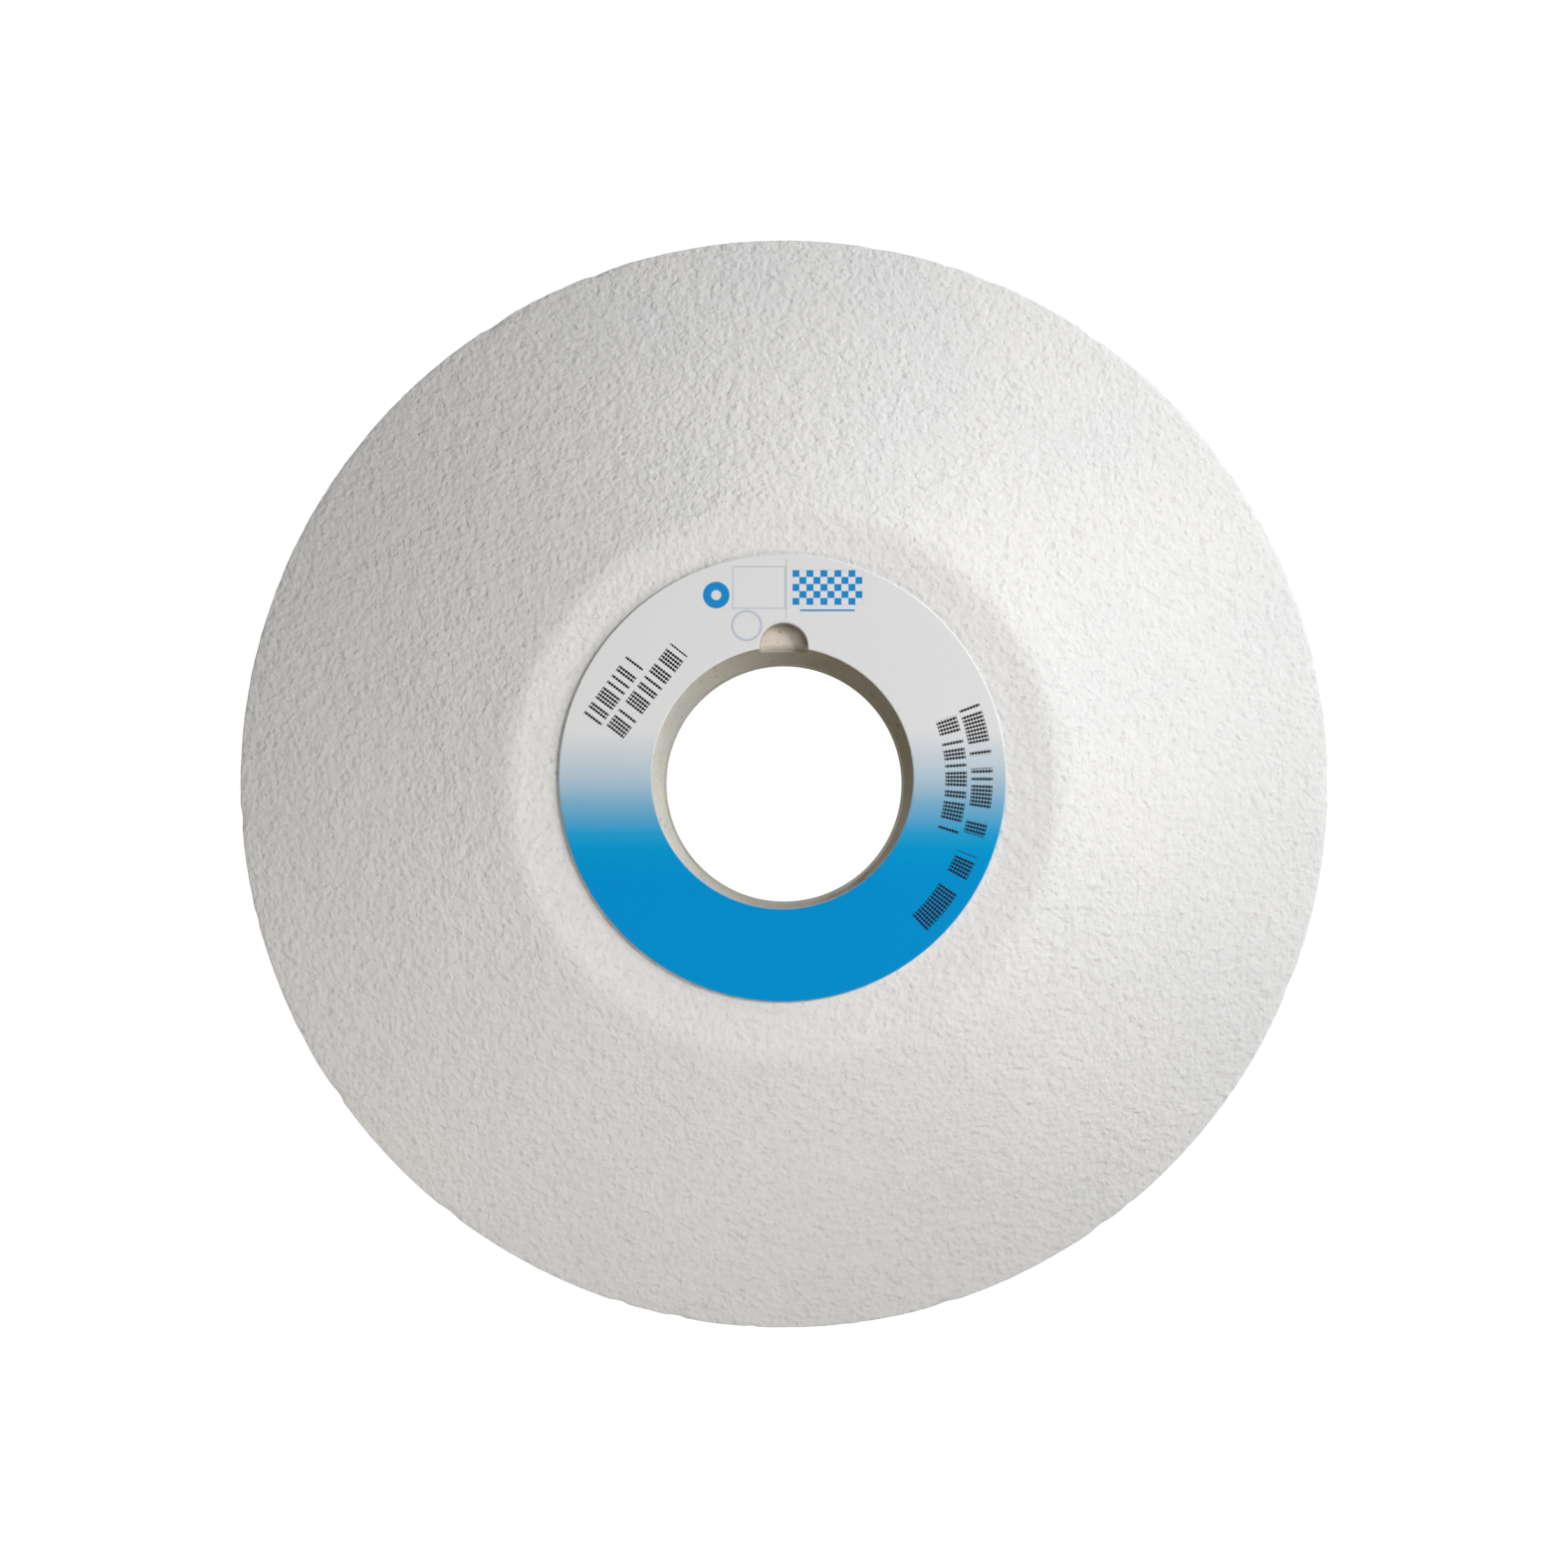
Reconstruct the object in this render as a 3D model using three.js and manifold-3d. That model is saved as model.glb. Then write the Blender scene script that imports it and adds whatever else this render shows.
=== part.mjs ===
// Vitrified dish grinding wheel (a cone-backed wheel with a dished grinding side).
//
// Frame, in millimetres: the wheel turns about Y. The origin is on the bore's axis, in the
// plane of the hub's front face. +Y points through the wheel, from the labelled front face
// to the rim's grinding face, and +Z points at the pouring gate, a half-round notch.
//
// Every round piece is a lathe profile, a list of (radius, depth) points turned about Y.

import * as THREE from 'three';
import * as BufferGeometryUtils from 'three/addons/utils/BufferGeometryUtils.js';
import Module from 'manifold-3d';

const wasm = await Module();
wasm.setup();

// Driving dimensions
const wheelDiameter = 150;
const wheelWidth = 20;          // hub front face to grinding face
const hubThickness = 13;
const hubFrontDiameter = 72.5;  // where the flat hub meets the cone
const hubRearDiameter = 62;     // flat floor of the dish
const edgeLand = 3;             // plain cylinder at the outer edge
const rimFaceWidth = 8;         // flat grinding face
const hubBlendRadius = 7;       // rounds the corner between hub and cone
const dishBlendRadius = 6;
const arris = 0.4;              // small bevel on the fired outer edges

const boreDiameter = 32;
const flareDiameter = 36.4;     // bore's mouth on the front face
const flareDepth = 5;
const rearBevel = 0.5;
const bushDiameter = 40;

const gateRadius = 3.2;         // half-round notch, centred on the edge of the flare
const gateFloorDepth = 1.2;     // cast bush material stands to this depth in the notch
const gateDepth = 4;            // depth of the notch in the abrasive
const gateCentre = flareDiameter / 2 - 0.2;

const labelDiameter = 58.8;
const labelBore = 34.4;
const labelThickness = 0.6;
const labelShift = new THREE.Vector2(-0.2, 0.8);  // glued on slightly off centre

const blotterDiameter = 56;
const blotterBore = 33;
const blotterThickness = 0.6;

const turns = 96;               // segments round the wheel
const blendSteps = 4;           // segments in a rounded corner

const wheelRadius = wheelDiameter / 2;
const boreRadius = boreDiameter / 2;
const bushRadius = bushDiameter / 2;

const material = (color, roughness) => new THREE.MeshStandardMaterial({ color, roughness, metalness: 0 });
const abrasiveWhite = material(0xd9d7d2, 0.95);
const castBeige = material(0xcfc4ae, 0.8);
const printedPaper = material(0x6fb4d8, 0.65);
const plainPaper = material(0xc9bfa8, 0.9);

const at = (radius, depth) => new THREE.Vector2(radius, depth);

// Points that round the corner of a profile at `corner`, met by lines from `before` and to `after`.
function roundedCorner(before, corner, after, radius) {
  const inward = before.clone().sub(corner).normalize();
  const outward = after.clone().sub(corner).normalize();
  const halfAngle = Math.acos(inward.dot(outward)) / 2;
  const setback = radius / Math.tan(halfAngle);
  const start = corner.clone().addScaledVector(inward, setback);
  const end = corner.clone().addScaledVector(outward, setback);
  return new THREE.QuadraticBezierCurve(start, corner, end).getPoints(blendSteps);
}

// A closed ring of material: the profile returns to its first point.
function turned(profile) {
  return new THREE.LatheGeometry([...profile, profile[0]], turns);
}

// Geometry to manifold-3d solid and back.
function toSolid(geometry) {
  const bare = geometry.toNonIndexed();
  bare.deleteAttribute('normal');
  bare.deleteAttribute('uv');
  const merged = BufferGeometryUtils.mergeVertices(bare, 1e-4);
  return new wasm.Manifold(new wasm.Mesh({
    numProp: 3,
    vertProperties: new Float32Array(merged.attributes.position.array),
    triVerts: new Uint32Array(merged.index.array),
  }));
}

function toGeometry(solid) {
  const mesh = solid.getMesh();
  const geometry = new THREE.BufferGeometry();
  geometry.setAttribute('position', new THREE.BufferAttribute(mesh.vertProperties, 3));
  geometry.setIndex(new THREE.BufferAttribute(mesh.triVerts, 1));
  geometry.computeVertexNormals();
  return geometry;
}

// A round peg along Y, standing at the gate, between two depths.
function gatePeg(radius, fromDepth, toDepth) {
  const peg = new THREE.CylinderGeometry(radius, radius, toDepth - fromDepth, 32);
  peg.translate(0, (fromDepth + toDepth) / 2, gateCentre);
  return toSolid(peg);
}

// The abrasive: flat hub, cone, edge land, flat grinding face and dished rear.
function abrasiveBody() {
  const hubEdge = at(hubFrontDiameter / 2, 0);
  const rimFront = at(wheelRadius, wheelWidth - edgeLand);
  const rimInner = at(wheelRadius - rimFaceWidth, wheelWidth);
  const dishFloorEdge = at(hubRearDiameter / 2, hubThickness);
  const coneDirection = rimFront.clone().sub(hubEdge).normalize();
  const dishDirection = dishFloorEdge.clone().sub(rimInner).normalize();
  const profile = [
    at(bushRadius, 0),
    ...roundedCorner(at(bushRadius, 0), hubEdge, rimFront, hubBlendRadius),
    rimFront.clone().addScaledVector(coneDirection, -arris),
    at(wheelRadius, wheelWidth - edgeLand + arris),
    at(wheelRadius, wheelWidth - arris),
    at(wheelRadius - arris, wheelWidth),
    at(wheelRadius - rimFaceWidth + arris, wheelWidth),
    rimInner.clone().addScaledVector(dishDirection, arris),
    ...roundedCorner(rimInner, dishFloorEdge, at(bushRadius, hubThickness), dishBlendRadius),
    at(bushRadius, hubThickness),
  ];
  const wheel = toSolid(turned(profile));
  return toGeometry(wheel.subtract(gatePeg(gateRadius, -1, gateDepth)));
}

// The cast bush: straight bore with a flared mouth, and a lug that fills the gate part way.
function boreBush() {
  const profile = [
    at(flareDiameter / 2, 0),
    at(bushRadius, 0),
    at(bushRadius, hubThickness),
    at(boreRadius + rearBevel, hubThickness),
    at(boreRadius, hubThickness - rearBevel),
    at(boreRadius, flareDepth),
  ];
  const ring = toSolid(turned(profile));
  const opening = toSolid(turned([
    at(0, -1),
    at(flareDiameter / 2 + (flareDiameter / 2 - boreRadius) / flareDepth, -1),
    at(boreRadius, flareDepth),
    at(boreRadius, hubThickness + 1),
    at(0, hubThickness + 1),
  ]));
  const lug = gatePeg(gateRadius, 0, gateDepth).subtract(opening);
  const notch = gatePeg(gateRadius, -1, gateFloorDepth);
  return toGeometry(ring.add(lug).subtract(notch));
}

// A flat paper washer on a face, from one depth to another.
function paperWasher(bore, diameter, fromDepth, toDepth) {
  return turned([
    at(bore / 2, fromDepth),
    at(diameter / 2, fromDepth),
    at(diameter / 2, toDepth),
    at(bore / 2, toDepth),
  ]);
}

// The printed label, glued on off centre and cut out round the gate.
function frontLabel() {
  const washer = paperWasher(labelBore, labelDiameter, -labelThickness, 0);
  washer.translate(labelShift.x, 0, labelShift.y);
  return toGeometry(toSolid(washer).subtract(gatePeg(gateRadius, -1, 1)));
}

const wheel = new THREE.Group();

function addPiece(name, geometry, finish) {
  const piece = new THREE.Mesh(geometry, finish);
  piece.name = name;
  wheel.add(piece);
}

addPiece('abrasive_body', abrasiveBody(), abrasiveWhite);
addPiece('bore_bush', boreBush(), castBeige);
addPiece('front_label', frontLabel(), printedPaper);
addPiece(
  'rear_blotter',
  paperWasher(blotterBore, blotterDiameter, hubThickness, hubThickness + blotterThickness),
  plainPaper,
);

export default wheel;
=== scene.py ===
"""Looks of the vitrified dish grinding wheel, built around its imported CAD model.

Metres, in the CAD model's own frame: the wheel turns about Y, its labelled hub faces -Y, and
the half-round pouring gate in the bore's edge points at +Z.

Every round piece is a surface turned about Y: a list of rows, each with a radius and a depth
(Y) that may both change with the angle round the wheel. The angle runs from +X towards +Z.
"""

import math

import bpy
import numpy as np
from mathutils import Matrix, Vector, noise


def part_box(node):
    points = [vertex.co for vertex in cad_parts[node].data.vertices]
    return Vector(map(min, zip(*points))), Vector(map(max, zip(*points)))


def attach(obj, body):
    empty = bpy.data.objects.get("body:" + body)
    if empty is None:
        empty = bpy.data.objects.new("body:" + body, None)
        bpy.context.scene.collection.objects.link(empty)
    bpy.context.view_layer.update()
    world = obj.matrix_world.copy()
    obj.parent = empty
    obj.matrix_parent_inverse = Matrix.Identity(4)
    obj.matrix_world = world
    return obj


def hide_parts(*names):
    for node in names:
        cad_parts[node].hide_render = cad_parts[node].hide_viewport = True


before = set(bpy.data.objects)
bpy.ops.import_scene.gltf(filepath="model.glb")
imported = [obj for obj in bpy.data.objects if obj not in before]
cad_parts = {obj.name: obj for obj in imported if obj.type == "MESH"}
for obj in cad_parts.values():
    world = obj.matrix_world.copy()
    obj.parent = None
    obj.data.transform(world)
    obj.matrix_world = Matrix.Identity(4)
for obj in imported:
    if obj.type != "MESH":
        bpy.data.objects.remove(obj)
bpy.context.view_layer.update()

MM = 0.001


# ---------------------------------------------------------------- sizes, read from the CAD model

def rim_points(node):
    """Radius and depth of each of a CAD node's corners."""
    corners = np.array([v.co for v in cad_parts[node].data.vertices])
    return np.hypot(corners[:, 0], corners[:, 2]), corners[:, 1]


def radii_at(node, depth):
    """The radii of a CAD node's corners that lie at one depth."""
    radius, depths = rim_points(node)
    return radius[np.abs(depths - depth) < 0.01 * MM]


def middle(node):
    low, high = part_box(node)
    return (low + high) / 2


wheel_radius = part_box("abrasive_body")[1].x
wheel_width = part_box("abrasive_body")[1].y
hub_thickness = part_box("bore_bush")[1].y
bush_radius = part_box("bore_bush")[1].x
flare_radius = radii_at("bore_bush", 0).min()
bore_radius = rim_points("bore_bush")[0].min()
rim_face_inner = radii_at("abrasive_body", wheel_width).min()
label_centre = middle("front_label")
label_radius = (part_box("front_label")[1].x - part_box("front_label")[0].x) / 2
label_thickness = -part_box("front_label")[0].y
blotter_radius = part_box("rear_blotter")[1].x
blotter_bore = rim_points("rear_blotter")[0].min()
blotter_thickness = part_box("rear_blotter")[1].y - hub_thickness

# The rest repeats the CAD source's own dimensions.
hub_front_radius = 36.25 * MM
hub_rear_radius = 31 * MM
edge_land = 3 * MM
hub_blend = 7 * MM
dish_blend = 6 * MM
flare_depth = 5 * MM
rear_bevel = 0.5 * MM
gate_radius = 3.2 * MM
gate_floor = 1.2 * MM
gate_depth = 4 * MM
gate_centre = flare_radius - 0.2 * MM
label_bore = 17.2 * MM
arris = 0.4 * MM                # rounds the wheel's outer edges

# The fired surface is slightly uneven: grain size, height and seed of each layer of noise.
uneven_layers = [(1.6 * MM, 0.05 * MM, 1), (6 * MM, 0.04 * MM, 2)]

# Small breaks along the wheel's fired edges.
chip_size = 3 * MM
chip_reach = 1.3 * MM           # how far from the edge a break goes
chip_depth = 0.7 * MM
chip_rarity = 0.22              # noise below this leaves the edge whole
edge_crumble = 0.15             # share of the depth that crumbles away all along an edge

# Segments round the rings, and the extra ones packed round the gate.
body_segments = 520
ring_segments = 300
gate_segments = 120
blotter_segments = 360
paper_rows = 26                 # across a face of a paper washer

# Half the angle kept for the gate, seen from the bore's axis and from the label's middle.
gate_angle = math.radians(13)
label_gate_angle = math.radians(14)


# ---------------------------------------------------------------- outlines

def line(start, end, spacing):
    """Points from start up to, but not including, end."""
    start, end = np.array(start, float), np.array(end, float)
    count = max(1, round(float(np.linalg.norm(end - start)) / spacing))
    return [tuple(start + (end - start) * i / count) for i in range(count)]


def rounded(before, corner, after, radius, steps):
    """Points that round a corner between lines from before and to after, on a quadratic curve."""
    before, corner, after = (np.array(p, float) for p in (before, corner, after))
    inward = (before - corner) / np.linalg.norm(before - corner)
    outward = (after - corner) / np.linalg.norm(after - corner)
    setback = radius / math.tan(math.acos(float(inward @ outward)) / 2)
    start, end = corner + inward * setback, corner + outward * setback
    points = []
    for i in range(steps + 1):
        t = i / steps
        points.append(tuple(start * (1 - t) ** 2 + corner * 2 * t * (1 - t) + end * t * t))
    return points


def outline(corners):
    """A profile through (radius, depth, rounding, steps, spacing) corners.

    The spacing is that of the points filled in on the way to the corner.
    """
    points = []
    for i, (radius, depth, rounding, steps, spacing) in enumerate(corners):
        here = (radius, depth)
        if 0 < i < len(corners) - 1 and rounding:
            turn = rounded(corners[i - 1][:2], here, corners[i + 1][:2], rounding, steps)
        else:
            turn = [here]
        if points:
            points += line(points[-1], turn[0], spacing)[1:]
        points += turn
    return points


# ---------------------------------------------------------------- turned meshes

def gate_reach(angles, centre=(0.0, 0.0)):
    """Distance from a centre to the far side of the round gate, along each angle; 0 past it."""
    dx, dz = -centre[0], gate_centre - centre[1]
    along = dx * np.cos(angles) + dz * np.sin(angles)
    across = -dx * np.sin(angles) + dz * np.cos(angles)
    inside = (np.abs(across) < gate_radius) & (along > 0)
    return np.where(inside, along + np.sqrt(np.maximum(gate_radius ** 2 - across ** 2, 0)), 0)


def ring_angles(count, fine_half_width=0.0, fine_count=0):
    """Angles round a ring, closer together round the gate at +Z."""
    if not fine_count:
        return np.arange(count) * 2 * math.pi / count
    top = math.pi / 2
    fine = np.linspace(top - fine_half_width, top + fine_half_width, fine_count, endpoint=False)
    rest = np.linspace(top + fine_half_width, top - fine_half_width + 2 * math.pi, count,
                       endpoint=False)
    return np.concatenate([fine, rest])


def turned(name, rows, angles, centre=(0.0, 0.0)):
    """A closed ring mesh from rows of (radius, depth), each a number or one value per angle."""
    radius = np.array([np.broadcast_to(row[0], angles.shape) for row in rows])
    depth = np.array([np.broadcast_to(row[1], angles.shape) for row in rows])
    x = centre[0] + radius * np.cos(angles)
    z = centre[1] + radius * np.sin(angles)
    points = np.stack([x, depth, z], axis=-1).reshape(-1, 3)
    row_count, angle_count = radius.shape
    i, j = np.meshgrid(np.arange(row_count), np.arange(angle_count), indexing="ij")
    next_i, next_j = (i + 1) % row_count, (j + 1) % angle_count
    quads = np.stack([i * angle_count + j, next_i * angle_count + j,
                      next_i * angle_count + next_j, i * angle_count + next_j], axis=-1)
    mesh = bpy.data.meshes.new(name)
    mesh.from_pydata(points.tolist(), [], quads.reshape(-1, 4).tolist())
    mesh.validate()
    mesh.update()
    mesh.shade_smooth()
    mesh.set_sharp_from_angle(angle=math.radians(40))
    piece = bpy.data.objects.new(name, mesh)
    bpy.context.scene.collection.objects.link(piece)
    return piece


def roughen(piece, layers):
    """Moves each point along its normal by layers of noise, each (grain size, height, seed)."""
    mesh = piece.data
    normals = np.array([v.normal for v in mesh.vertices])
    points = np.array([v.co for v in mesh.vertices])
    push = np.zeros(len(points))
    for size, height, seed in layers:
        shift = Vector((seed * 3.7, seed * 1.3, seed * 7.1))
        push += height * np.array([noise.noise(Vector(p / size) + shift) for p in points])
    mesh.vertices.foreach_set("co", (points + normals * push[:, None]).ravel())
    mesh.update()


def chip(piece, edges):
    """Breaks small pieces out of circular edges, each given as (radius, depth)."""
    mesh = piece.data
    normals = np.array([v.normal for v in mesh.vertices])
    points = np.array([v.co for v in mesh.vertices])
    radius = np.hypot(points[:, 0], points[:, 2])
    near = np.zeros(len(points))
    for edge_radius, edge_depth in edges:
        away = np.hypot(radius - edge_radius, points[:, 1] - edge_depth)
        near = np.maximum(near, 1 - away / chip_reach)
    for k in np.nonzero(near > 0)[0]:
        spot = Vector(points[k] / chip_size)
        crumbled = edge_crumble * abs(noise.noise(spot * 3))
        broken = max(0.0, noise.noise(spot) - chip_rarity) + crumbled
        points[k] -= normals[k] * near[k] * broken * chip_depth
    mesh.vertices.foreach_set("co", points.ravel())
    mesh.update()


# ---------------------------------------------------------------- the pieces

def make_body():
    rim_depth = wheel_width - edge_land
    angles = ring_angles(body_segments)
    fine, coarse, hidden = 0.65 * MM, 1 * MM, 2 * MM
    rows = outline([
        (bush_radius, 0, 0, 0, hidden),
        (hub_front_radius, 0, hub_blend, 8, fine),
        (wheel_radius, rim_depth, arris, 3, fine),
        (wheel_radius, wheel_width, arris, 3, fine),
        (rim_face_inner, wheel_width, arris, 3, fine),
        (hub_rear_radius, hub_thickness, dish_blend, 8, coarse),
        (bush_radius, hub_thickness, 0, 0, hidden),
    ])
    # The flat hub's rows spread outwards from the notch, and the last rows line its wall.
    notch = np.maximum(gate_reach(angles), bush_radius)
    hub_flat_end = hub_front_radius - 2 * MM
    for k, (r, y) in enumerate(rows):
        if y == 0 and r < hub_flat_end:
            share = (r - bush_radius) / (hub_flat_end - bush_radius)
            rows[k] = (notch + (hub_flat_end - notch) * share, 0)
    rows += [(bush_radius, y) for y in np.linspace(hub_thickness, gate_depth, 10)[1:]]
    rows += [(notch, y) for y in (gate_depth, gate_depth / 2)]
    piece = turned("grinding_body", rows, angles)
    roughen(piece, uneven_layers)
    chip(piece, [
        (wheel_radius, rim_depth),
        (wheel_radius, wheel_width),
        (rim_face_inner, wheel_width),
    ])
    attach(piece, "root")
    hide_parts("abrasive_body")
    return piece


def bush_front(radius, angles):
    """Depth of the bush's front at a radius: its flare, or the floor of the gate if deeper."""
    wall_width = 0.15 * MM
    flare = np.maximum(0, (flare_radius - radius) / (flare_radius - bore_radius) * flare_depth)
    x, z = radius * np.cos(angles), radius * np.sin(angles)
    away = np.hypot(x, z - gate_centre) / gate_radius
    scoop = gate_floor * (0.9 + 0.6 * np.sqrt(np.maximum(1 - away ** 2, 0)))
    inside = np.clip((1 - away) * gate_radius / wall_width + 0.5, 0, 1)
    return np.maximum(flare, scoop * inside)


def make_bush():
    angles = ring_angles(ring_segments, gate_angle, gate_segments)
    lip = np.maximum(gate_reach(angles), bush_radius)
    round_radius = 17.4 * MM    # rows are round up to here, then bend to follow the gate
    spacing = 0.6 * MM
    rows = []
    for share in np.linspace(0, 1, 12):
        radius = np.full(angles.shape, bore_radius + (round_radius - bore_radius) * share)
        rows.append((radius, bush_front(radius, angles)))
    for share in np.linspace(0, 1, 30)[1:]:
        radius = round_radius + (lip - round_radius) * share
        rows.append((radius, bush_front(radius, angles)))
    lip_front = bush_front(lip * 0.999, angles)
    rows += [(lip, np.maximum(lip_front, y)) for y in (gate_floor + 0.4 * MM, gate_depth)]
    rows += [(bush_radius, y) for y in np.linspace(gate_depth, hub_thickness, 8)]
    rows += outline([
        (bush_radius - 0.5 * MM, hub_thickness, 0, 0, spacing),
        (bore_radius + rear_bevel, hub_thickness, 0, 0, spacing),
        (bore_radius, hub_thickness - rear_bevel, 0, 0, spacing),
        (bore_radius, flare_depth + 0.4 * MM, 0, 0, spacing),
    ])
    piece = turned("bore_lining", rows, angles)
    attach(piece, "root")
    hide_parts("bore_bush")
    return piece


def make_washer(name, centre, inner, outer, low, high, angles):
    """A paper washer with softly rounded edges; inner may change with the angle."""
    soft = 0.12 * MM
    flat = outer - inner - 2 * soft
    middle_rows = [inner + soft + flat * share for share in np.linspace(0, 1, paper_rows)]
    rows = [(inner, high - soft), (inner, low + soft)]
    rows += [(r, low) for r in middle_rows]
    rows += [(outer, low + soft), (outer, high - soft)]
    rows += [(r, high) for r in reversed(middle_rows)]
    return turned(name, rows, angles, centre)


def make_label():
    angles = ring_angles(ring_segments, label_gate_angle, gate_segments)
    centre = (label_centre.x, label_centre.z)
    inner = np.maximum(gate_reach(angles, centre), label_bore)
    piece = make_washer("printed_label", centre, inner, label_radius, -label_thickness, 0, angles)
    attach(piece, "root")
    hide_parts("front_label")
    return piece


def make_blotter():
    angles = ring_angles(blotter_segments)
    piece = make_washer("plain_blotter", (0, 0), np.full(angles.shape, blotter_bore),
                        blotter_radius, hub_thickness, hub_thickness + blotter_thickness, angles)
    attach(piece, "root")
    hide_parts("rear_blotter")
    return piece


# ---------------------------------------------------------------- materials

# The abrasive's texture: the size of its features and how far they stand out.
grain_size = 0.8 * MM
grain_relief = 0.17 * MM
pore_size = 0.9 * MM
clump_size = 1.7 * MM
clump_relief = 0.29 * MM
rim_shade_from = 40 * MM          # painted shade: the wheel turns greyer from this radius to its rim,
rim_shade_tone = 0.905            # where it has this share of the hub's brightness
label_shadow_reach = 0.9 * MM          # painted shadow cast by the label, beside its left edge
label_shadow_tone = 0.8

# Printed marks, placed from the label's middle.
ink_edge = 0.12 * MM            # softness of a printed edge
badge_centre = (5.9 * MM, 25 * MM)
badge_width = 9.2 * MM
badge_height = 4.6 * MM
badge_columns = 10
rule_gap = 0.7 * MM             # from the badge down to the line below it
rule_half = (3.6 * MM, 0.12 * MM)      # half its length and half its width, as below
disc_centre = (-8.7 * MM, 24 * MM)
box_centre = (-3.1 * MM, 25 * MM)
box_half = (3.5 * MM, 2.8 * MM)
box_line = 0.16 * MM
side_line_centre = (0.5 * MM, 24.9 * MM)
side_line_half = (0.08 * MM, 3.9 * MM)
ring_centre = (-4.7 * MM, 20 * MM)

# Stamped codes: rows of upright bars made of dots.
dot_step = 0.5 * MM             # from bar to bar
dot_pitch = 0.4 * MM            # from dot to dot along a bar
dot_size = 0.4 * MM
bar_rarity = 0.36               # share of the bars that are left out
code_height = 2.8 * MM
code_start = 21                 # degrees above +X where the curved codes begin
straight_codes = [              # middle, slope in degrees, length, seed
    ((-22.5 * MM, 11.0 * MM), 53, 10.4 * MM, 3.0),
    ((-17.8 * MM, 11.4 * MM), 52, 13.8 * MM, 5.0),
]
curved_codes = [                # radius, start and end of each group, seed
    (26.2 * MM, [(0, 6.6 * MM), (8.3 * MM, 13.6 * MM), (15.4 * MM, 17.2 * MM),
                 (19.8 * MM, 23.2 * MM), (25 * MM, 31.4 * MM)], 11.0),
    (22.8 * MM, [(0.4 * MM, 15.6 * MM)], 13.0),
]


class Shader:
    """Builds one material: each call adds a node and returns its output socket."""

    def __init__(self, name, roughness):
        self.material = bpy.data.materials.new(name)
        self.material.use_nodes = True
        self.tree = self.material.node_tree
        self.surface = self.tree.nodes["Principled BSDF"]
        self.surface.inputs["Roughness"].default_value = roughness
        self.place = self.put("ShaderNodeTexCoord", output="Object")
        self.normal = self.put("ShaderNodeTexCoord", output="Normal")

    def put(self, kind, inputs=None, output=0, **settings):
        node = self.tree.nodes.new(kind)
        for key, value in settings.items():
            setattr(node, key, value)
        for key, value in (inputs or {}).items():
            if isinstance(value, bpy.types.NodeSocket):
                self.tree.links.new(value, node.inputs[key])
            else:
                node.inputs[key].default_value = value
        return node.outputs[output]

    def set(self, name, value):
        """Joins a socket to an input of the surface, or sets the input to a fixed value."""
        if isinstance(value, bpy.types.NodeSocket):
            self.tree.links.new(value, self.surface.inputs[name])
        else:
            self.surface.inputs[name].default_value = value

    def math(self, operation, a, b=0.0, clamp=False):
        return self.put("ShaderNodeMath", {0: a, 1: b}, operation=operation, use_clamp=clamp)

    def add(self, a, b):
        return self.math("ADD", a, b)

    def subtract(self, a, b):
        return self.math("SUBTRACT", a, b)

    def times(self, a, b):
        return self.math("MULTIPLY", a, b)

    def distance(self, *pairs):
        """Distance between two places, given as (a, b) along each axis."""
        total = 0.0
        for a, b in pairs:
            gap = self.subtract(a, b)
            total = self.add(total, self.times(gap, gap))
        return self.math("SQRT", total)

    def below(self, value, limit, soft):
        """1 where value is below limit, 0 above it, blended over the width soft."""
        offset = self.times(self.subtract(limit, value), 1 / soft)
        return self.math("ADD", offset, 0.5, clamp=True)

    def blend(self, factor, a, b, mode="MIX"):
        return self.put("ShaderNodeMix", {"Factor": factor, 6: a, 7: b}, output=2,
                        data_type="RGBA", blend_type=mode)

    def axes(self, vector):
        parts = self.tree.nodes.new("ShaderNodeSeparateXYZ")
        self.tree.links.new(vector, parts.inputs[0])
        return parts.outputs

    def noise(self, size, detail=2.0, roughness=0.5, where=None):
        """Smooth noise, 0 to 1, with features of about this size."""
        return self.put("ShaderNodeTexNoise", {
            "Vector": where or self.place, "Scale": 1 / size, "Detail": detail,
            "Roughness": roughness,
        })

    def cells(self, size, output="Distance"):
        """Grains of about this size: the distance to a grain's middle, or its random colour."""
        return self.put("ShaderNodeTexVoronoi", {
            "Vector": self.place, "Scale": 1 / size, "Smoothness": 0.6,
        }, output=output, feature="SMOOTH_F1")

    def spread(self, value, low, high, start=0.0, end=1.0):
        """Maps value's range low to high onto start to end, and holds it there."""
        return self.put("ShaderNodeMapRange", {
            "Value": value, "From Min": low, "From Max": high, "To Min": start, "To Max": end,
        })

    def ramp(self, factor, stops):
        node = self.tree.nodes.new("ShaderNodeValToRGB")
        self.tree.links.new(factor, node.inputs[0])
        elements = node.color_ramp.elements
        while len(elements) < len(stops):
            elements.new(0.5)
        for element, (position, colour) in zip(elements, stops):
            element.position = position
            element.color = (*colour, 1)
        return node.outputs[0]

    def bump(self, height, distance, under=None):
        """A normal bent by a height from 0 to 1 that stands for this distance."""
        inputs = {"Height": height, "Distance": distance, "Strength": 1.0}
        if under is not None:
            inputs["Normal"] = under
        return self.put("ShaderNodeBump", inputs)

    def shade(self, colour, amount, low=0.0, high=1.0):
        """A colour multiplied by a grey from low, where amount is 0, to high, where it is 1."""
        grey = self.spread(amount, 0, 1, low, high)
        whole = self.put("ShaderNodeCombineColor", {0: grey, 1: grey, 2: grey})
        return self.blend(1.0, colour, whole, mode="MULTIPLY")


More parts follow.
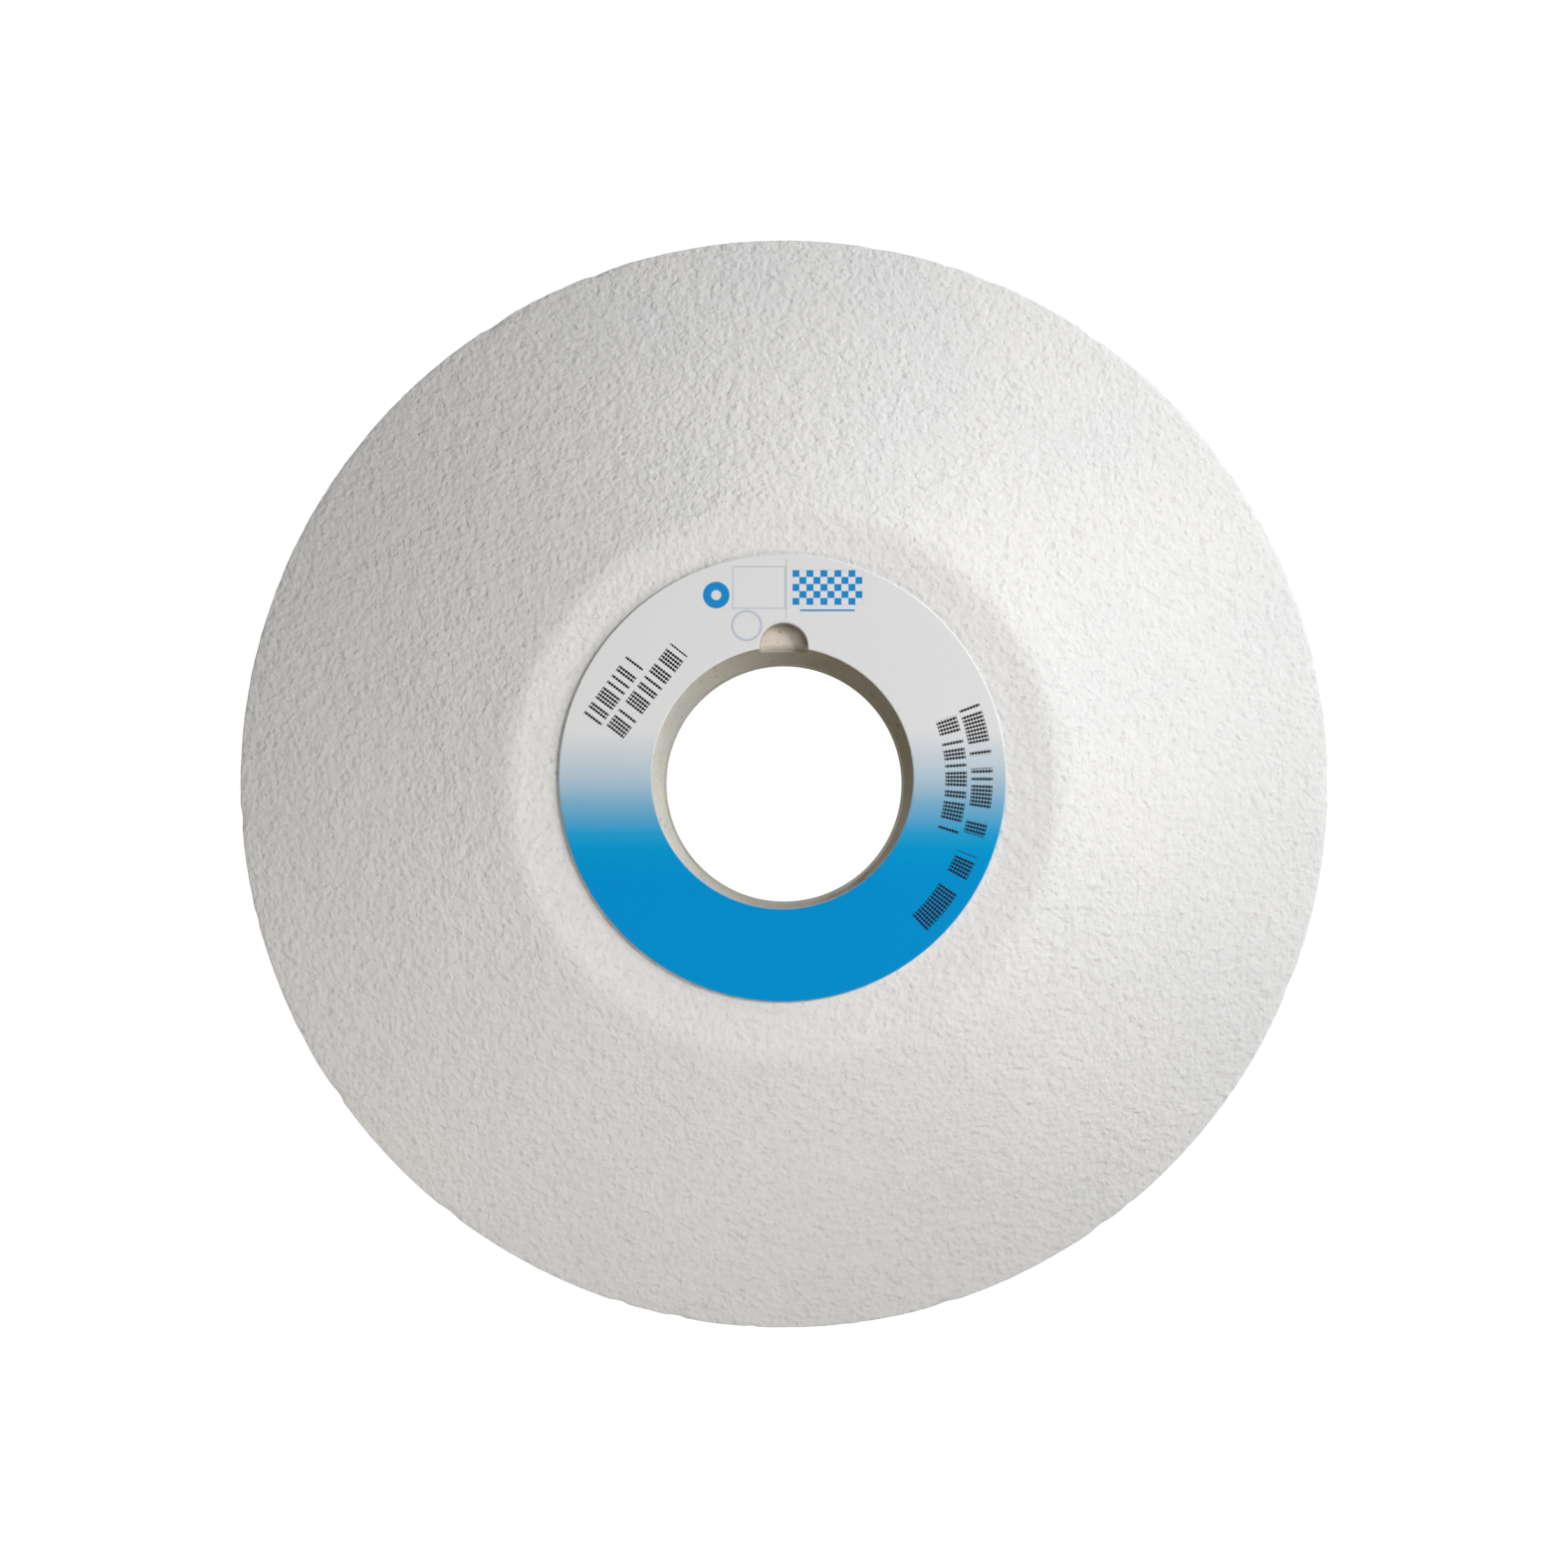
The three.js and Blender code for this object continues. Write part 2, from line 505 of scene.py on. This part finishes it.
def srgb(red, green, blue):
    """Linear colour of an 8-bit colour."""
    def linear(value):
        value /= 255
        return value / 12.92 if value <= 0.04045 else ((value + 0.055) / 1.055) ** 2.4
    return tuple(linear(value) for value in (red, green, blue))


def abrasive_material():
    """Fired white grit: pale grains that stand proud of small pores, with faint clumps, painted
    shade in the pores, painted shade greying towards the rim and a painted shadow beside the
    label's left edge.
    """
    m = Shader("white fired abrasive", 0.85)
    x, _, z = m.axes(m.place)
    grain = m.cells(grain_size)
    tone = m.axes(m.cells(grain_size, output="Color"))[0]
    clump = m.noise(clump_size, roughness=0.55)
    pore = m.spread(m.noise(pore_size), 0.33, 0.46)
    stain = m.noise(20 * MM, detail=3)
    base = m.ramp(stain, [(0.38, (0.776, 0.772, 0.764)), (0.62, (0.758, 0.757, 0.756))])
    colour = m.shade(base, tone, 0.988, 1.012)
    # painted shade: darker in the pores
    colour = m.shade(colour, pore, 0.95, 1.0)
    colour = m.shade(colour, m.spread(clump, 0.3, 0.7), 0.988, 1.01)
    # painted shade: the wheel turns greyer towards its rim
    reach = m.distance((x, 0), (z, 0))
    colour = m.shade(colour, m.spread(reach, rim_shade_from, wheel_radius), 1.0, rim_shade_tone)
    # painted shadow of the label's edge, on its left side only
    from_label = m.distance((x, label_centre.x), (z, label_centre.z))
    label_shadow = m.times(m.below(from_label, label_radius + label_shadow_reach, 1.2 * MM),
                           m.spread(x, 2 * MM, -24 * MM))
    colour = m.shade(colour, label_shadow, 1.0, label_shadow_tone)
    m.set("Base Color", colour)
    m.set("Roughness", m.spread(tone, 0, 1, 0.6, 0.95))
    m.set("Diffuse Roughness", 0.4)
    m.set("Specular IOR Level", 0.25)
    dome = m.subtract(1.0, m.times(grain, 1.2))
    height = m.add(m.times(dome, 0.65), m.times(pore, 0.35))
    fine = m.bump(height, grain_relief)
    m.set("Normal", m.bump(clump, clump_relief, under=fine))
    return m.material


def bush_material():
    """Cast beige compound: mottled and pitted, with painted shade in the pits, browner painted
    shade on one side and a painted shadow along the gate's upper right wall.
    """
    shade_brown = (0.232, 0.206, 0.15, 1)
    gate_pale = (0.64, 0.575, 0.50, 1)
    gate_shadow_colour = (0.16, 0.15, 0.13, 1)
    m = Shader("beige cast lining", 0.75)
    x, _, z = m.axes(m.place)
    flow = m.noise(5 * MM, detail=4, roughness=0.6)
    base = m.ramp(flow, [(0.35, (0.60, 0.583, 0.513)), (0.65, (0.70, 0.68, 0.60))])
    drift = m.times(m.subtract(flow, 0.5), 9 * MM)
    # painted shade: browner towards the bore's right side
    side_shade = m.spread(m.add(m.add(x, m.times(z, 0.1)), drift), -16 * MM, 8 * MM)
    base = m.blend(side_shade, base, shade_brown)
    from_gate = m.distance((x, 0), (z, gate_centre))
    past_flare = m.below(flare_radius, m.distance((x, 0), (z, 0)), 0.8 * MM)
    in_gate = m.times(m.below(from_gate, gate_radius, 0.3 * MM), past_flare)
    base = m.blend(in_gate, base, gate_pale)
    # painted shadow along the gate's upper right wall
    upper_right = m.spread(m.add(x, m.subtract(z, gate_centre)), 0.5 * MM, 3.5 * MM)
    near_wall = m.spread(m.add(from_gate, m.times(flow, 1 * MM)), 2.4 * MM, 3.4 * MM)
    gate_shadow = m.times(near_wall, upper_right)
    base = m.blend(m.times(in_gate, gate_shadow), base, gate_shadow_colour)
    grit = m.noise(0.35 * MM, detail=3, roughness=0.65)
    pit = m.spread(m.cells(1.3 * MM), 0.10, 0.22)
    colour = m.shade(base, m.spread(grit, 0.3, 0.7), 0.88, 1.05)
    # painted shade: darker in the pits
    colour = m.shade(colour, pit, 0.72, 1.0)
    m.set("Base Color", colour)
    m.set("Roughness", m.spread(flow, 0.3, 0.7, 0.6, 0.85))
    m.set("Specular IOR Level", 0.3)
    height = m.add(m.times(grit, 0.5), m.times(pit, 0.5))
    m.set("Normal", m.bump(height, 0.08 * MM))
    return m.material


def dotted_code(m, along, across, stretches, seed):
    """A stamped row of small dots in upright bars of one height, some left out at random.

    Each stretch is the (start, end) of one printed group, as a distance along the row.
    """
    column = m.math("FLOOR", m.times(along, 1 / dot_step))
    draw = m.put("ShaderNodeTexWhiteNoise", {
        "Vector": m.put("ShaderNodeCombineXYZ", {0: column, 1: seed})})
    present = m.math("GREATER_THAN", draw, bar_rarity)
    tall = m.below(m.math("ABSOLUTE", across), code_height / 2, 0.05 * MM)
    dx = m.subtract(m.math("FRACT", m.times(along, 1 / dot_step)), 0.5)
    dy = m.subtract(m.math("FRACT", m.times(across, 1 / dot_pitch)), 0.5)
    dx, dy = m.times(dx, dot_step), m.times(dy, dot_pitch)
    dot = m.below(m.distance((dx, 0), (dy, 0)), dot_size / 2, 0.1 * MM)
    printed = 0.0
    for start, end in stretches:
        offset = m.math("ABSOLUTE", m.subtract(along, (start + end) / 2))
        printed = m.add(printed, m.below(offset, (end - start) / 2, 0.01 * MM))
    return m.times(m.times(dot, present), m.times(tall, printed))


def bar(m, u, v, centre, half_size):
    """A printed rectangle."""
    across = m.below(m.math("ABSOLUTE", m.subtract(u, centre[0])), half_size[0], ink_edge)
    up = m.below(m.math("ABSOLUTE", m.subtract(v, centre[1])), half_size[1], ink_edge)
    return m.times(across, up)


def hoop(m, u, v, centre, radius, half_width):
    """A printed ring."""
    reach = m.distance((u, centre[0]), (v, centre[1]))
    return m.below(m.math("ABSOLUTE", m.subtract(reach, radius)), half_width, ink_edge)


def paper_colour(m, v):
    """White above, and printed blue below a soft fade."""
    top, bottom = 8 * MM, -14 * MM

    def stop(height_mm, *colour):
        return ((top - height_mm * MM) / (top - bottom), srgb(*colour))

    return m.ramp(m.spread(v, top, bottom), [
        stop(6.2, 219, 220, 221), stop(4.4, 207, 213, 217), stop(0.5, 177, 197, 210),
        stop(-1.4, 156, 186, 206), stop(-3.4, 119, 171, 202), stop(-5.4, 87, 162, 203),
        stop(-7.3, 36, 154, 205), stop(-9.3, 3, 148, 204), stop(-13, 0, 141, 205),
    ])


def blue_marks(m, u, v):
    """A chequered badge with a line under it, and a thick ring."""
    cell = badge_width / badge_columns
    left, low = badge_centre[0] - badge_width / 2, badge_centre[1] - badge_height / 2
    column = m.math("FLOOR", m.times(m.subtract(u, left), 1 / cell))
    row = m.math("FLOOR", m.times(m.subtract(v, low), 1 / cell))
    chequer = m.math("LESS_THAN", m.math("FLOORED_MODULO", m.add(column, row), 2), 0.5)
    plate = bar(m, u, v, badge_centre, (badge_width / 2, badge_height / 2))
    rule = bar(m, u, v, (badge_centre[0], low - rule_gap), rule_half)
    disc = hoop(m, u, v, disc_centre, 1.2 * MM, 0.55 * MM)
    return m.math("MAXIMUM", m.math("MAXIMUM", m.times(plate, chequer), disc), rule)


def grey_marks(m, u, v):
    """The outline of a box, with a line beside it and a thin ring below."""
    outer = bar(m, u, v, box_centre, box_half)
    inner = bar(m, u, v, box_centre, (box_half[0] - box_line, box_half[1] - box_line))
    side_line = bar(m, u, v, side_line_centre, side_line_half)
    ring = hoop(m, u, v, ring_centre, 1.9 * MM, 0.16 * MM)
    return m.math("MAXIMUM", m.add(m.subtract(outer, inner), side_line), ring)


def stamped_codes(m, u, v):
    """Two straight rows of dotted bars at the upper left, and two curved ones on the right."""
    codes = 0.0
    for centre, slope, length, seed in straight_codes:
        cosine, sine = math.cos(math.radians(slope)), math.sin(math.radians(slope))
        du, dv = m.subtract(u, centre[0]), m.subtract(v, centre[1])
        along = m.add(m.add(m.times(du, cosine), m.times(dv, sine)), length / 2)
        across = m.subtract(m.times(dv, cosine), m.times(du, sine))
        codes = m.math("MAXIMUM", codes, dotted_code(m, along, across, [(0, length)], seed))
    turn = m.math("ARCTAN2", v, u)
    reach = m.distance((u, 0), (v, 0))
    for radius, stretches, seed in curved_codes:
        along = m.times(m.subtract(math.radians(code_start), turn), radius)
        row = dotted_code(m, along, m.subtract(reach, radius), stretches, seed)
        codes = m.math("MAXIMUM", codes, row)
    return codes


def label_material():
    """Coated paper, half white and half blue, with plain marks and dotted codes printed on."""
    blue_ink = (*srgb(28, 135, 200), 1)
    grey_ink = (*srgb(150, 165, 190), 1)
    black_ink = (*srgb(34, 34, 38), 1)
    cut_paper = (0.70, 0.69, 0.67, 1)
    m = Shader("printed paper", 0.5)
    x, _, z = m.axes(m.place)
    u, v = m.subtract(x, label_centre.x), m.subtract(z, label_centre.z)
    wear = m.spread(m.noise(0.3 * MM), 0.22, 0.34, 0.55, 1.0)
    colour = m.blend(m.times(blue_marks(m, u, v), wear), paper_colour(m, v), blue_ink)
    colour = m.blend(m.times(grey_marks(m, u, v), 0.55), colour, grey_ink)
    colour = m.blend(m.times(stamped_codes(m, u, v), wear), colour, black_ink)
    fibre = m.noise(0.3 * MM, detail=3, roughness=0.6)
    colour = m.shade(colour, m.spread(fibre, 0.3, 0.7), 0.975, 1.01)
    facing = m.math("ABSOLUTE", m.axes(m.normal)[1])
    cut_edge = m.below(facing, 0.6, 0.3)
    colour = m.blend(cut_edge, colour, cut_paper)
    m.set("Base Color", colour)
    m.set("Roughness", m.spread(fibre, 0.3, 0.7, 0.6, 0.75))
    m.set("Specular IOR Level", 0.05)
    m.set("Normal", m.bump(fibre, 0.02 * MM))
    return m.material


def blotter_material():
    """Plain grey-brown blotting paper with visible fibres."""
    m = Shader("plain blotting paper", 0.9)
    fibre = m.noise(0.4 * MM, detail=4, roughness=0.7)
    streak = m.noise(1.0 * MM, detail=3, where=m.put("ShaderNodeMapping", {
        "Vector": m.place, "Scale": (1, 1, 6)}))
    cloud = m.noise(7 * MM, detail=3)
    base = m.ramp(cloud, [(0.35, (0.50, 0.44, 0.34)), (0.65, (0.56, 0.50, 0.40))])
    colour = m.shade(base, m.spread(fibre, 0.3, 0.7), 0.88, 1.06)
    colour = m.shade(colour, m.spread(streak, 0.3, 0.7), 0.93, 1.03)
    m.set("Base Color", colour)
    m.set("Roughness", m.spread(fibre, 0.3, 0.7, 0.82, 0.98))
    m.set("Specular IOR Level", 0.2)
    m.set("Normal", m.bump(fibre, 0.05 * MM))
    return m.material


body = make_body()
bush = make_bush()
label = make_label()
blotter = make_blotter()
body.data.materials.append(abrasive_material())
bush.data.materials.append(bush_material())
label.data.materials.append(label_material())
blotter.data.materials.append(blotter_material())


# ---------------------------------------------------------------- floor, light and camera

floor_gap = 0.5                 # the wheel is held up by its bore, well above the floor
camera_distance = 350 * MM      # from the hub's front face
frame_fill = 0.6937             # the wheel's share of the picture's width
sensor_width = 36
floor_half = 9
floor_glow = 0.98               # how bright the camera sees the floor, before its own light
world_light = 0.1


def floor_material():
    """Pale floor: the camera sees it near white, and it reflects as a plain mid grey."""
    material = bpy.data.materials.new("pale floor")
    material.use_nodes = True
    nodes, links = material.node_tree.nodes, material.node_tree.links
    nodes.clear()
    matt = nodes.new("ShaderNodeBsdfDiffuse")
    matt.inputs["Color"].default_value = (0.6, 0.6, 0.6, 1)
    soft = nodes.new("ShaderNodeBsdfDiffuse")
    soft.inputs["Color"].default_value = (0.5, 0.5, 0.5, 1)
    glow = nodes.new("ShaderNodeEmission")
    glow.inputs["Strength"].default_value = floor_glow
    both = nodes.new("ShaderNodeAddShader")
    path = nodes.new("ShaderNodeLightPath")
    mix = nodes.new("ShaderNodeMixShader")
    out = nodes.new("ShaderNodeOutputMaterial")
    links.new(soft.outputs[0], both.inputs[0])
    links.new(glow.outputs[0], both.inputs[1])
    links.new(path.outputs["Is Camera Ray"], mix.inputs[0])
    links.new(matt.outputs[0], mix.inputs[1])
    links.new(both.outputs[0], mix.inputs[2])
    links.new(mix.outputs[0], out.inputs["Surface"])
    return material


def make_floor():
    mesh = bpy.data.meshes.new("floor")
    level = -wheel_radius - floor_gap
    corners = [(-1, -1), (1, -1), (1, 1), (-1, 1)]
    mesh.from_pydata([(x * floor_half, y * floor_half, level) for x, y in corners], [],
                     [(0, 1, 2, 3)])
    floor = bpy.data.objects.new("floor", mesh)
    bpy.context.scene.collection.objects.link(floor)
    mesh.materials.append(floor_material())


def towards(off_axis, turn):
    """A direction this many degrees off the wheel's front axis, turned from +X towards +Z."""
    off, turn = math.radians(off_axis), math.radians(turn)
    return (math.sin(off) * math.cos(turn), -math.cos(off), math.sin(off) * math.sin(turn))


studio_lights = [               # name, direction, distance, size, power, colour
    ("key", towards(40, 25), 1.5, 0.3, 6.88, (1, 0.995, 0.99)),
    ("near key", towards(45, 30), 0.3, 0.1, 0.43, (1, 0.995, 0.99)),
    ("low fill", towards(50, 225), 0.25, 0.1, 0.212, (1, 0.95, 0.89)),
    ("rake", towards(85, 30), 0.7, 0.2, 2.47, (1, 1, 1)),
    ("back key", (-0.45, 0.75, 0.5), 1.2, 0.4, 10, (1, 1, 1)),
    ("back fill", (0.3, 0.9, -0.3), 1.2, 0.5, 2.5, (1, 1, 1)),
]


def make_light(name, direction, distance, size, power, colour):
    """A soft square light that faces the wheel's middle from a direction."""
    middle_of_wheel = Vector((0, wheel_width / 2, 0))
    data = bpy.data.lights.new(name, "AREA")
    data.size = size
    data.energy = power
    data.color = colour
    light = bpy.data.objects.new(name, data)
    light.visible_camera = False
    back = Vector(direction).normalized()
    light.location = middle_of_wheel + back * distance
    light.rotation_mode = "QUATERNION"
    light.rotation_quaternion = back.to_track_quat("Z", "Y")
    bpy.context.scene.collection.objects.link(light)


def make_world(strength):
    """White behind everything, with a dimmer even light on the object."""
    world = bpy.data.worlds.new("studio")
    world.use_nodes = True
    bpy.context.scene.world = world
    nodes, links = world.node_tree.nodes, world.node_tree.links
    nodes.clear()
    seen = nodes.new("ShaderNodeBackground")
    lighting = nodes.new("ShaderNodeBackground")
    lighting.inputs["Strength"].default_value = strength
    seen.inputs["Color"].default_value = (1, 1, 1, 1)
    lighting.inputs["Color"].default_value = (1, 1, 1, 1)
    path = nodes.new("ShaderNodeLightPath")
    mix = nodes.new("ShaderNodeMixShader")
    out = nodes.new("ShaderNodeOutputWorld")
    links.new(path.outputs["Is Camera Ray"], mix.inputs["Fac"])
    links.new(lighting.outputs["Background"], mix.inputs[1])
    links.new(seen.outputs["Background"], mix.inputs[2])
    links.new(mix.outputs["Shader"], out.inputs["Surface"])


def make_camera():
    data = bpy.data.cameras.new("camera")
    data.sensor_width = sensor_width
    rim_distance = camera_distance + wheel_width - edge_land
    data.lens = sensor_width * frame_fill * rim_distance / (2 * wheel_radius)
    camera = bpy.data.objects.new("camera", data)
    camera.location = (0, -camera_distance, 0)
    camera.rotation_euler = (math.pi / 2, 0, 0)
    bpy.context.scene.collection.objects.link(camera)
    bpy.context.scene.camera = camera


make_floor()
make_world(world_light)
for light in studio_lights:
    make_light(*light)
make_camera()
bpy.context.scene.view_settings.view_transform = "Standard"
